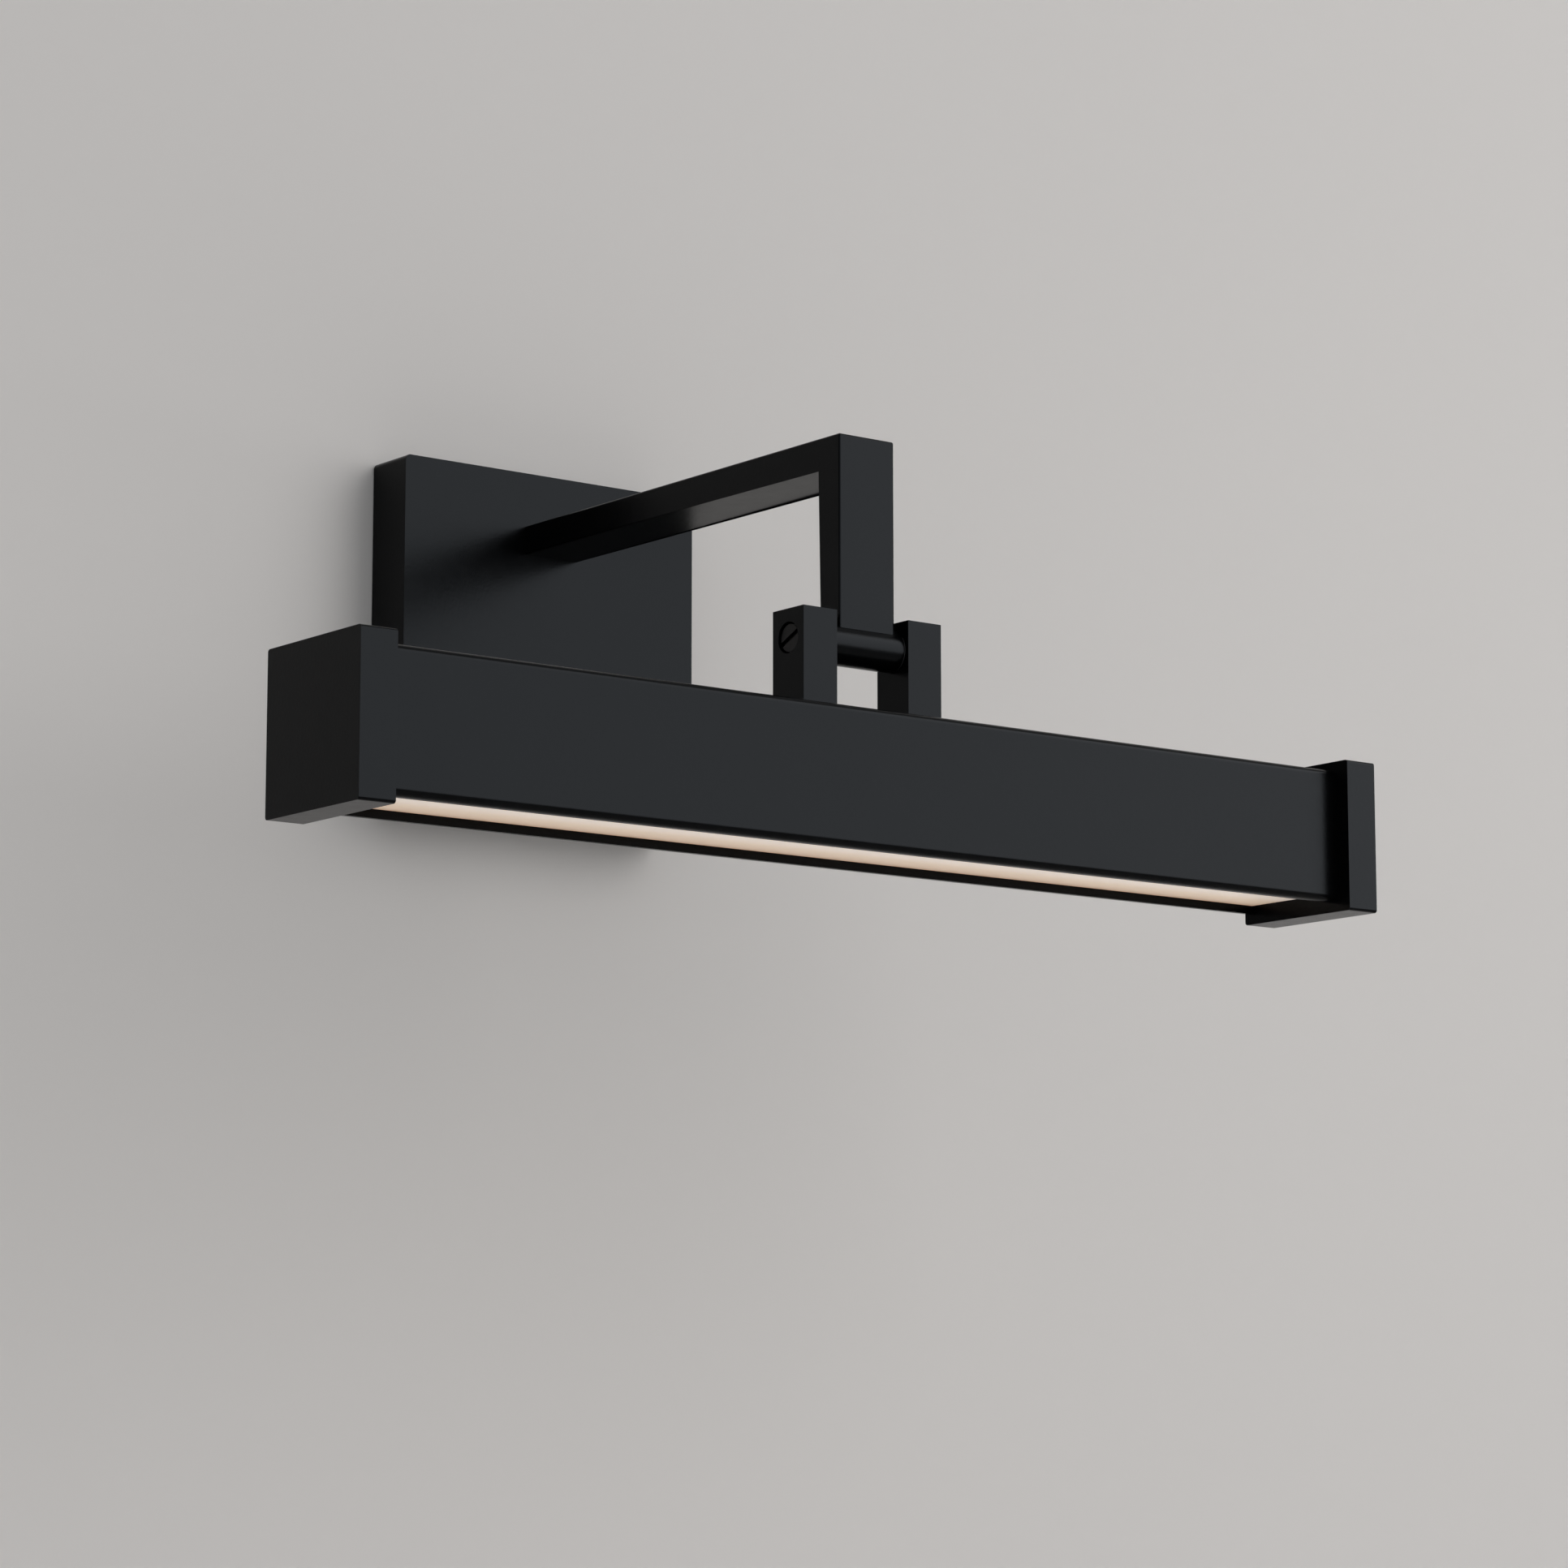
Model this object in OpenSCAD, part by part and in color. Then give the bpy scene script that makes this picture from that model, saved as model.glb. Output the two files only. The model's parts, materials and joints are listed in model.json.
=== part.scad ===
// Wall-mounted LED picture light: a square canopy, a flat cranked arm and a
// tilting light bar between square end caps.
// X runs along the bar, +Y points into the wall and +Z is up. The origin is the
// centre of the canopy's back, on the face of the wall.

/* [Canopy] */
// Width of the canopy
canopy_w = 120; // [112:1:140]
// Height of the canopy
canopy_h = 120; // [112:1:140]
// How far the canopy stands off the wall
canopy_d = 20; // [19:0.5:30]
// Thickness of the canopy's sheet metal
canopy_t = 1.6; // [1:0.1:2]
// Distance between the two junction box screws
box_pitch = 88.9; // [70:0.1:92]
// Diameter of the junction box screw holes
box_hole = 5; // [4:0.5:6]

/* [Arm] */
// Width of the arm's rectangular tube
arm_w = 22; // [20:0.5:26]
// Thickness of the arm's rectangular tube
arm_t = 10; // [9:0.5:12]
// Wall of the arm's tube
arm_wall = 1.5; // [1:0.1:1.6]
// Height of the arm's top above the canopy's centre
arm_top = 41.4; // [35:0.2:45]
// Distance of the tilt axis from the wall
reach = 189.5; // [150:0.5:260]

/* [Knuckle] */
// Depth of the tilt axis below the canopy's centre
pivot_drop = 25.4; // [20:0.2:40]
// Diameter of the barrel at the end of the arm
barrel_dia = 13.4; // [12:0.2:16]
// Clear gap between the two ears
ear_gap = 28.4; // [27:0.2:32]
// Thickness of each ear
ear_t = 13.3; // [13:0.1:16]
// Depth of each ear from front to back
ear_d = 15.7; // [15:0.1:20]
// Height of the ears above the tilt axis
ear_rise = 9.3; // [8:0.1:12]

/* [Light bar] */
// Length of the light bar over its end caps
bar_len = 400; // [300:5:600]
// Side of the square end caps
cap_side = 50.6; // [49:0.1:56]
// Thickness of the end caps
cap_t = 12.5; // [10:0.5:16]
// Depth of the housing from front to back
housing_d = 44.2; // [42:0.2:46]
// Height of the housing
housing_h = 44.4; // [42:0.2:46]
// Distance from the tilt axis down to the top of the housing
housing_drop = 22.8; // [20:0.2:30]
// How far the end caps stand proud of the housing's front
cap_front = 5.9; // [2:0.1:7]
// How far the light bar's middle lies in front of the tilt axis
bar_forward = 0.4; // [0:0.1:2]
// How far the end caps stand proud of the housing's top
cap_top = 2.8; // [1:0.1:5]
// Width of the lips on each side of the light opening
lip_w = 3.8; // [3.4:0.1:6]
// Number of light-emitting diodes
led_count = 30; // [10:1:40]

/* [Hidden] */
$fn = 48;
cut = 0.05;                       // how far a cutting shape passes a face
slack = 0.1;                      // gap left between fixed pieces that slide together
fit = 0.03;                       // radial clearance of a turning fit
m3 = 3;
m4 = 4;
screw_play = 0.05;                // radial clearance round a fixed screw
m3_hole = m3 + 2*screw_play;
m4_hole = m4 + 2*screw_play;
arm_head = [6.8, 2.8];            // diameter and height of each screw's head
ear_head = [5.5, 2.2];
tray_head = [4.8, 1.8];
arm_socket = 2.4;
ear_socket = 2;
small_socket = 1.6;
socket_floor = 1;                 // metal left in a head under its socket
arm_thread = 12;                  // how far the screws reach into the part they hold
ear_thread = 8;
tray_thread = 1.5;
hole_spare = 1;                   // depth of a blind hole past its screw's end

// Wall side
canopy_front = -canopy_d;
canopy_inner = canopy_front + canopy_t;
corner_r = 2;                     // bend radius at the canopy's four corners
bar_t = 2;                        // thickness of the crossbar and the backing plate
crossbar_w = 22;
crossbar_h = canopy_h - 2*canopy_t - 2*slack;
lug_d = 14;                       // how far the crossbar's lugs reach from the wall
canopy_screw_y = -8;
canopy_screw_len = 7;
canopy_socket = 2.3;
canopy_socket_t = 2;
wire_hole = 12;
wire_hole_z = -16;
ground_z = 22;
plate_w = 30;
plate_h = 30;
plate_low = 22;                   // how far the plate reaches below the arm's centre line
plate_face = canopy_inner + bar_t;
arm_z = arm_top - arm_t/2;
arm_screw_x = 6.5;
washer_t = 1;
driver_x = [-52, -18];
driver_z = [-46, 38];
driver_y = [canopy_inner + 0.5, canopy_inner + 14.5];
tab_w = 3;                        // fixing tabs at the driver's side
tab_t = 2;
tab_h = 8;
connector_x = [21, 33, 45];
connector_z = [-40, -18];
connector_y = -9;

// Arm
arm_front = reach + arm_t/2;
plug_gap = 0.1;
plug_len = 16;
duct_w = arm_w - 2*arm_wall;
duct_t = arm_t - 2*arm_wall;
lead_d = 3;
wire_d = 2;
lead_hole = 4;

// Knuckle
pivot_z = -pivot_drop;
washer_gap = 0.5;                 // room for a friction washer at each end of the barrel
barrel_len = ear_gap - 2*washer_gap;
tenon_rise = 9;                   // how far the barrel's tenon reaches up the arm
barrel_bore = 6.6;                // upright bore for the lead
shoulder_d = 6;
shoulder_end = 6;                 // how far from the middle the pivot screw's shoulder stops
bush_d = 8;
bush_bore = 5.4;
bush_x = [6.5, ear_gap/2 + 4.4];
ear_out = ear_gap/2 + ear_t;
recess_d = 10;
recess_t = 3.3;
screw_head_d = 8.8;
screw_head_t = 2.6;
head_sunk = recess_t - screw_head_t;
slot_w = 1.6;
slot_t = 1.3;
slot_turn = 24;                   // turn of the slots from the horizontal
channel_x = ear_gap/2 + 7.1;      // lead channel down the right ear
channel_d = 4.6;
ear_screw_x = ear_gap/2 + 3.2;
ear_screw_y = 5;

// Light bar
housing_top = pivot_z - housing_drop;
housing_bottom = housing_top - housing_h;
housing_wall = 2;
housing_r = 2.4;
cap_y = -reach - bar_forward;
housing_front = cap_y - cap_side/2 + cap_front;
housing_y = housing_front + housing_d/2;
housing_z = housing_top - housing_h/2;
housing_len = bar_len - 2*cap_t;
cap_top_z = housing_top + cap_top;
cap_z = cap_top_z - cap_side/2;
cavity_d = housing_d - 2*housing_wall;
spigot_len = 8;
spigot_wall = 4;
cap_screw_len = 5;
grommet_d = 6;
inner_len = housing_len - 2*spigot_len;
lip_t = 2.8;                      // height of the lips, which set the diffuser back
side_gap = 0.3;                   // gap all round the tray and the diffuser
opening_w = housing_d - 2*lip_w;
rib_w = 5;
rib_t = 2;
rib_top = housing_top - 18;
tray_top = rib_top - rib_t;
tray_t = 2;
tray_end = 4;                     // from the ends of the cavity to the tray, the board and the diodes
board_end = 8;
led_end = 15;
board_w = 20;
board_t = 1.6;
chip = [3.5, 2.8, 1];
diffuser_t = 2;
diffuser_w = cavity_d - 2*side_gap;
lip_top = housing_bottom + lip_t;
guide_z = lip_top + diffuser_t + side_gap;
guide_t = 1.4;
tray_screw_x = [-150, -50, 50, 150];
tray_screw_y = cavity_d/2 - rib_w/2;
cap_screw_x = housing_len/2 - spigot_len/2;
cap_screw_z = [housing_z - 10, housing_z + 10];
window_x = [-40, -22];            // window in the tray over the board's connector
window_w = 12;
connector_h = 5;

// Routes of the internal leads, along their centre lines
arm_lead_route = [
    [-28, -11, 38], [-28, -11, 40.5], [-27.6, -10.6, 43.5], [-25, -9.6, 47.5], [-19, -8.6, 49.5],
    [-12, -8, 48], [-6, -8, 44], [-2, -8.6, 39.5], [0, -11, 36.9], [0, -15, 36.4],
    [0, -20, 36.4], [0, -60, 36.4], [0, -110, 36.6], [0, -160, 37.4], [0, -181.5, 37.6],
    [0, -186, 36.6], [0, -189.2, 34], [0, -190.4, 30], [0, -190.2, 10], [0, -189.5, -5],
    [0, -189.5, -20.4], [0.4, -189.5, -22.4], [1.5, -189.5, -24.1], [3.3, -189.5, -25.1],
    [5.6, -189.5, -25.4]
];
head_lead_route = [
    [6.2, -189.5, -25.4], [16.3, -189.5, -25.4], [18.2, -189.5, -25.8],
    [19.8, -189.5, -26.9], [20.9, -189.5, -28.5], [21.3, -189.5, -30.4],
    [21.3, -189.5, -56], [20.4, -189.5, -59.4], [17.8, -189.5, -61.6],
    [14, -189.4, -62.2], [0, -188.2, -62.2], [-10, -187.3, -62.6], [-17, -187.2, -65],
    [-21.5, -187.2, -66.4], [-24.5, -187.2, -66.4]
];
line_wire_route = [
    [-38, -11, -46], [-38, -11, -49], [-34, -10.4, -50.5], [-20, -9.6, -50.5],
    [0, -9, -50.5], [22, -9, -50.5], [30, -9, -49.5], [33, -9, -46], [33, -9, -40]
];
neutral_wire_route = [
    [-32, -6.6, -46], [-32, -6.6, -48], [-30.5, -6.4, -49.3], [-26, -6, -50], [-10, -6, -50], [10, -6, -50],
    [34, -6.4, -50.4], [42, -7.4, -49.4], [45, -9, -45], [45, -9, -40]
];
ground_wire_route = [
    [4, -5, 20], [8, -6, 18], [12, -8, 10], [13, -10, -6], [13, -11, -24],
    [13.4, -10.6, -38], [15.4, -9.6, -44], [18.4, -9, -45.8], [21, -9, -43.5], [21, -9, -40]
];

// ---- Shapes used by more than one part ----

// Stretches of an axis: from a place by two steps, or to the same distance either side
function from(place, steps) = [place + steps[0], place + steps[1]];
function about(place, reach_each_way) = [place - reach_each_way, place + reach_each_way];

// A block between two corners, each axis given as [low, high]
module block(x, y, z) {
    translate([x[0], y[0], z[0]]) cube([x[1] - x[0], y[1] - y[0], z[1] - z[0]]);
}

// Rods along X, Y or Z, each between two places on that axis
module rod_x(d, x, y, z) {
    translate([x[0], y, z]) rotate([0, 90, 0]) cylinder(d = d, h = x[1] - x[0]);
}
module rod_y(d, x, y, z) {
    translate([x, y[1], z]) rotate([90, 0, 0]) cylinder(d = d, h = y[1] - y[0]);
}
module rod_z(d, x, y, z) {
    translate([x, y, z[0]]) cylinder(d = d, h = z[1] - z[0]);
}

// A flat rectangle with round corners
module soft_rectangle(w, h, r) {
    square([w - 2*r, h], center = true);
    square([w, h - 2*r], center = true);
    for (sx = [-1, 1], sy = [-1, 1])
        translate([sx*(w/2 - r), sy*(h/2 - r)]) circle(r = r);
}

// The flat shape extruded along X, drawn as Y across and Z up
module along_x(x) {
    translate([x[0], 0, 0]) rotate([90, 0, 90]) linear_extrude(x[1] - x[0]) children();
}

// The flat shape extruded along Y, drawn as X across and Z up
module along_y(y) {
    translate([0, y[1], 0]) rotate([90, 0, 0]) linear_extrude(y[1] - y[0]) children();
}

// A straight slot across a pivot screw's head, cut into the face at x
module head_slot(x) {
    translate([x, -reach, pivot_z]) rotate([-slot_turn, 0, 0])
        cube([2*slot_t, screw_head_d + 1, slot_w], center = true);
}

// A round tube of diameter d swept along a route
function unit(v) = v/norm(v);
function heading(r, i) =
    unit(r[min(i + 1, len(r) - 1)] - r[max(i - 1, 0)]);
function side_of(t) = unit(cross(t, abs(t[1]) > 0.8 ? [1, 0, 0] : [0, 1, 0]));
function carry(side, t) = unit(side - (side*t)*t);
function sides(r, i) =
    i == 0 ? [side_of(heading(r, 0))]
           : let (before = sides(r, i - 1)) concat(before, [carry(before[i - 1], heading(r, i))]);
module wire(route, d) {
    n = 10;
    k = len(route);
    side = sides(route, k - 1);
    ring_points = [
        for (i = [0:k - 1]) let (t = heading(route, i), u = side[i], v = cross(t, u))
            for (j = [0:n - 1]) route[i] + d/2*(cos(360*j/n)*u + sin(360*j/n)*v)
    ];
    walls = [
        for (i = [0:k - 2], j = [0:n - 1])
            [i*n + j, (i + 1)*n + j, (i + 1)*n + (j + 1)%n, i*n + (j + 1)%n]
    ];
    start = [for (j = [0:n - 1]) j];
    finish = [for (j = [n - 1:-1:0]) (k - 1)*n + j];
    polyhedron(points = ring_points, faces = concat([start], walls, [finish]));
}

// ---- Canopy and what it covers ----

module canopy_cover() {
    color("#26272a") difference() {
        along_y([canopy_front, 0]) soft_rectangle(canopy_w, canopy_h, corner_r);
        along_y([canopy_inner, cut])
            soft_rectangle(canopy_w - 2*canopy_t, canopy_h - 2*canopy_t, corner_r/2);
        for (x = [-arm_screw_x, arm_screw_x])
            rod_y(m4 + 4*screw_play, x, [canopy_front - cut, canopy_inner + cut], arm_z);
        rod_y(lead_hole + 2, 0, [canopy_front - cut, canopy_inner + cut], arm_z);
        rod_z(m4_hole, 0, canopy_screw_y, [-canopy_h, canopy_h]);
    }
}

module mounting_crossbar() {
    color("#b9bcc0") difference() {
        block([-crossbar_w/2, crossbar_w/2], [-bar_t, 0], [-crossbar_h/2, crossbar_h/2]);
        for (s = [-1, 1])
            rod_y(box_hole, 0, [-bar_t - cut, cut], s*box_pitch/2);
        rod_y(wire_hole, 0, [-bar_t - cut, cut], wire_hole_z);
        rod_y(m4_hole, 0, [-bar_t - cut, cut], ground_z);
    }
}

// The two lugs welded to the crossbar's ends, tapped for the canopy's screws
module crossbar_lugs() {
    color("#b9bcc0") for (s = [0, 1]) mirror([0, 0, s]) difference() {
        block([-crossbar_w/2, crossbar_w/2], [-lug_d, -bar_t],
              [crossbar_h/2 - bar_t, crossbar_h/2]);
        rod_z(m4_hole, 0, canopy_screw_y, [0, canopy_h]);
    }
}

module canopy_screws() {
    color("#1d1e20") for (s = [0, 1]) mirror([0, 0, s]) difference() {
        rod_z(m4, 0, canopy_screw_y, [canopy_h/2 - canopy_screw_len, canopy_h/2 - slack]);
        translate([0, canopy_screw_y, canopy_h/2 - canopy_socket_t])
            cylinder(d = canopy_socket, h = 2*canopy_socket_t, $fn = 6);
    }
}

module ground_screw() {
    color("#3f8f4f") difference() {
        union() {
            rod_y(m4, 0, [-bar_t - cut, -0.1], ground_z);
            rod_y(8, 0, [-bar_t - 3, -bar_t], ground_z);
        }
        block([-4.5, 4.5], [-bar_t - 3 - cut, -bar_t - 2], about(ground_z, 0.6));
    }
}

module backing_plate() {
    color("#b9bcc0") difference() {
        block([-plate_w/2, plate_w/2], [canopy_inner, plate_face],
              [arm_z - plate_low, arm_z - plate_low + plate_h]);
        for (x = [-arm_screw_x, arm_screw_x])
            rod_y(m4_hole, x, [canopy_inner - cut, plate_face + cut], arm_z);
        rod_y(lead_hole + 2, 0, [canopy_inner - cut, plate_face + cut], arm_z);
    }
}

module arm_screws() {
    head_y = plate_face + washer_t;
    color("#8e9194") for (x = [-arm_screw_x, arm_screw_x]) difference() {
        union() {
            rod_y(m4, x, [canopy_front - arm_thread, head_y + cut], arm_z);
            rod_y(arm_head[0], x, [head_y, head_y + arm_head[1]], arm_z);
        }
        rod_y(arm_socket, x, [head_y + socket_floor, head_y + arm_head[1] + cut], arm_z);
    }
}

module arm_lock_washers() {
    color("#a9acb0") for (x = [-arm_screw_x, arm_screw_x]) difference() {
        rod_y(7.6, x, [plate_face, plate_face + washer_t], arm_z);
        rod_y(m4 + 2*slack, x, [plate_face - cut, plate_face + washer_t + cut], arm_z);
    }
}

module canopy_grommet() {
    color("#15161a") difference() {
        rod_y(lead_hole + 2 - 2*screw_play, 0, [canopy_front, plate_face], arm_z);
        rod_y(lead_hole - 0.4, 0, [canopy_front - cut, plate_face + cut], arm_z);
    }
}

module led_driver() {
    rim = 1.5;
    lid_set = 0.6;
    color("#e6e6e2") difference() {
        union() {
            block(driver_x, driver_y, driver_z);
            for (z = [driver_z[0] + tab_h, driver_z[1] - tab_h])
                block([driver_x[0] - tab_w, driver_x[0]], [driver_y[0], driver_y[0] + tab_t],
                      about(z, tab_h/2));
        }
        block(
            driver_x + [rim, -rim], [driver_y[1] - lid_set, driver_y[1] + cut],
            driver_z + [rim, -rim]
        );
    }
}

module driver_pad() {
    color("#55565a") block(
        driver_x + [3, -3], [canopy_inner, driver_y[0]], driver_z + [5, -5]
    );
}

module wire_connectors() {
    low = connector_z[0];
    high = connector_z[1];
    color("#d9822b") for (x = connector_x)
        translate([x, connector_y, low]) rotate_extrude()
            polygon([[0, 0], [4.8, 0], [4.8, 5], [4.1, 6], [3, high - low - 2], [2, high - low],
                     [0, high - low]]);
}

module line_lead() {
    color("#1b1b1d") wire(line_wire_route, wire_d);
}

module neutral_lead() {
    color("#e9e7e0") wire(neutral_wire_route, wire_d);
}

module ground_lead() {
    color("#3f8f4f") wire(ground_wire_route, wire_d);
}

// ---- Arm ----

module arm_horizontal() {
    back = canopy_front;
    color("#26272a") difference() {
        along_x([-arm_w/2, arm_w/2]) polygon([
            [back, arm_top], [-arm_front, arm_top],
            [-arm_front + arm_t, arm_top - arm_t], [back, arm_top - arm_t]
        ]);
        along_x([-duct_w/2, duct_w/2]) polygon([
            [back + cut, arm_top - arm_wall], [-arm_front + arm_wall - cut, arm_top - arm_wall],
            [-arm_front + arm_t - arm_wall - cut, arm_top - arm_t + arm_wall],
            [back + cut, arm_top - arm_t + arm_wall]
        ]);
    }
}

module arm_vertical() {
    color("#26272a") difference() {
        along_x([-arm_w/2, arm_w/2]) polygon([
            [-arm_front, arm_top], [-arm_front, pivot_z],
            [-arm_front + arm_t, pivot_z], [-arm_front + arm_t, arm_top - arm_t]
        ]);
        along_x([-duct_w/2, duct_w/2]) polygon([
            [-arm_front + arm_wall, arm_top - arm_wall + cut],
            [-arm_front + arm_wall, pivot_z - cut],
            [-arm_front + arm_t - arm_wall, pivot_z - cut],
            [-arm_front + arm_t - arm_wall, arm_top - arm_t + arm_wall + cut]
        ]);
        rod_x(barrel_dia + 2*screw_play, [-arm_w, arm_w], -reach, pivot_z);
    }
}

module arm_root_plug() {
    color("#9a9da1") difference() {
        block(
            [-duct_w/2 + plug_gap, duct_w/2 - plug_gap], [canopy_front - plug_len, canopy_front],
            about(arm_z, duct_t/2 - plug_gap)
        );
        for (x = [-arm_screw_x, arm_screw_x])
            rod_y(m4_hole, x, [canopy_front - arm_thread - hole_spare, canopy_front + cut], arm_z);
        rod_y(lead_hole, 0, [canopy_front - plug_len - cut, canopy_front + cut], arm_z);
    }
}

module pivot_barrel() {
    end = barrel_len/2;
    tenon_top = pivot_z + barrel_dia/2 + tenon_rise;
    color("#26272a") difference() {
        union() {
            rod_x(barrel_dia, [-end, end], -reach, pivot_z);
            block(
                [-duct_w/2 + plug_gap, duct_w/2 - plug_gap],
                about(-reach, duct_t/2 - plug_gap), [pivot_z, tenon_top]
            );
        }
        rod_x(shoulder_d + 2*fit, [-end - cut, -shoulder_end + hole_spare], -reach, pivot_z);
        rod_x(bush_d + 2*fit, [0, end + cut], -reach, pivot_z);
        rod_z(barrel_bore, 0, -reach, [pivot_z, tenon_top + cut]);
    }
}

module arm_lead() {
    color("#1b1b1d") wire(arm_lead_route, lead_d);
}

// ---- Knuckle ----

module ear_block(side) {
    inner = ear_gap/2;
    difference() {
        mirror([side < 0 ? 1 : 0, 0, 0]) block(
            [inner, ear_out], about(-reach, ear_d/2), [housing_top, pivot_z + ear_rise]
        );
        for (y = [-ear_screw_y, ear_screw_y])
            rod_z(m3_hole, side*ear_screw_x, -reach + y,
                  from(housing_top, [-cut, ear_thread + hole_spare]));
    }
}

module ear_left() {
    color("#26272a") difference() {
        ear_block(-1);
        rod_x(shoulder_d + 2*screw_play, [-ear_out, 0], -reach, pivot_z);
        rod_x(recess_d, [-ear_out - cut, -ear_out + recess_t], -reach, pivot_z);
    }
}

module ear_right() {
    color("#26272a") difference() {
        ear_block(1);
        rod_x(bush_d + 2*screw_play, [0, ear_out - recess_t + cut], -reach, pivot_z);
        rod_x(recess_d, [ear_out - recess_t, ear_out + cut], -reach, pivot_z);
        rod_z(channel_d, channel_x, -reach, [housing_top - cut, pivot_z]);
    }
}

module ear_screws() {
    color("#8e9194") for (s = [-1, 1], y = [-ear_screw_y, ear_screw_y])
        translate([s*ear_screw_x, -reach + y, 0]) difference() {
            under = housing_top - housing_wall;
            union() {
                rod_z(m3, 0, 0, [under - cut, housing_top + ear_thread]);
                rod_z(ear_head[0], 0, 0, [under - ear_head[1], under]);
            }
            rod_z(ear_socket, 0, 0, [under - ear_head[1] - cut, under - socket_floor]);
        }
}

module pivot_screw_left() {
    head_out = -ear_out + head_sunk;
    color("#1d1e20") difference() {
        union() {
            rod_x(screw_head_d, [head_out, head_out + screw_head_t], -reach, pivot_z);
            rod_x(shoulder_d, [head_out + screw_head_t - cut, -shoulder_end], -reach, pivot_z);
        }
        head_slot(head_out);
    }
}

module pivot_plug_right() {
    head_out = ear_out - head_sunk;
    color("#1d1e20") difference() {
        rod_x(screw_head_d, [head_out - screw_head_t, head_out], -reach, pivot_z);
        head_slot(head_out);
    }
}

module pivot_bush() {
    color("#b08d4a") difference() {
        rod_x(bush_d, bush_x, -reach, pivot_z);
        rod_x(bush_bore, bush_x + [-cut, cut], -reach, pivot_z);
    }
}

module friction_washers() {
    disc_t = 0.4;
    inner = ear_gap/2;
    color("#4b4d50") {
        difference() {
            rod_x(barrel_dia - 0.6, [-inner, -inner + disc_t], -reach, pivot_z);
            rod_x(shoulder_d + 2*slack, [-inner - cut, -inner + disc_t + cut], -reach, pivot_z);
        }
        difference() {
            rod_x(barrel_dia - 0.6, [inner - disc_t, inner], -reach, pivot_z);
            rod_x(bush_d + 2*slack, [inner - disc_t - cut, inner + cut], -reach, pivot_z);
        }
    }
}

// ---- Light bar ----

module housing_section() {
    difference() {
        translate([housing_y, housing_z]) soft_rectangle(housing_d, housing_h, housing_r);
        translate([housing_y - cavity_d/2, lip_top])
            square([cavity_d, housing_top - housing_wall - lip_top]);
        translate([housing_y - opening_w/2, housing_bottom - cut])
            square([opening_w, lip_t + 2*cut]);
    }
    for (s = [-1, 1]) translate([housing_y + s*(cavity_d/2 - rib_w/2 + cut), 0]) {
        translate([-rib_w/2, rib_top - rib_t]) square([rib_w, rib_t]);
        translate([-rib_w/2, guide_z]) square([rib_w, guide_t]);
    }
}

module bar_housing() {
    half = housing_len/2;
    color("#26272a") difference() {
        along_x([-half, half]) housing_section();
        // ends of the ribs cleared for the end caps' spigots
        for (s = [0, 1]) mirror([s, 0, 0]) block(
            [half - spigot_len - slack, half + cut],
            about(housing_y, cavity_d/2), [lip_top, housing_top - housing_wall]
        );
        for (s = [-1, 1], y = [-ear_screw_y, ear_screw_y])
            rod_z(m3_hole, s*ear_screw_x, -reach + y,
                  [housing_top - housing_wall - cut, housing_top + cut]);
        rod_z(grommet_d, channel_x, -reach,
              [housing_top - housing_wall - cut, housing_top + cut]);
        for (s = [-1, 1], z = cap_screw_z)
            rod_y(m3_hole, s*cap_screw_x,
                  [housing_front + housing_d - housing_wall - cut, housing_front + housing_d + cut], z);
        for (x = tray_screw_x, s = [-1, 1])
            rod_z(m3_hole, x, housing_y + s*tray_screw_y,
                  [tray_top - cut, rib_top + cut]);
    }
}

module led_tray() {
    half = inner_len/2 - tray_end;
    color("#c9ccd0") difference() {
        block(
            [-half, half], about(housing_y, cavity_d/2 - side_gap),
            [tray_top - tray_t, tray_top]
        );
        for (x = tray_screw_x, s = [-1, 1])
            rod_z(m3_hole, x, housing_y + s*tray_screw_y,
                  [tray_top - tray_t - cut, tray_top + cut]);
        block(window_x, about(housing_y, window_w/2),
              [tray_top - tray_t - cut, tray_top + cut]);
    }
}

module tray_screws() {
    color("#8e9194") for (x = tray_screw_x, s = [-1, 1])
        translate([x, housing_y + s*tray_screw_y, 0]) difference() {
            low = tray_top - tray_t;
            union() {
                rod_z(m3, 0, 0, [low - cut, rib_top + tray_thread]);
                rod_z(tray_head[0], 0, 0, [low - tray_head[1], low]);
            }
            rod_z(small_socket, 0, 0, [low - tray_head[1] - cut, low - socket_floor]);
        }
}

module led_board() {
    half = inner_len/2 - board_end;
    color("#f2f2ee") block(
        [-half, half], about(housing_y, board_w/2),
        [tray_top - tray_t - board_t, tray_top - tray_t]
    );
}

module led_chips() {
    pitch = (inner_len - 2*led_end)/(led_count - 1);
    color("#f4d774") for (i = [0:led_count - 1])
        translate([(i - (led_count - 1)/2)*pitch, housing_y,
                   tray_top - tray_t - board_t - chip[2]/2])
            cube(chip, center = true);
}

module board_connector() {
    color("#f2f2ee") block(
        [window_x[0] + 2, window_x[1] - 2.5], about(housing_y, window_w/2 - 2),
        [tray_top - tray_t, tray_top - tray_t + connector_h]
    );
}

module diffuser() {
    half = housing_len/2 - side_gap;
    color("#f6ead8") block(
        [-half, half], about(housing_y, diffuser_w/2),
        from(lip_top, [slack/2, slack/2 + diffuser_t])
    );
}

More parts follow.
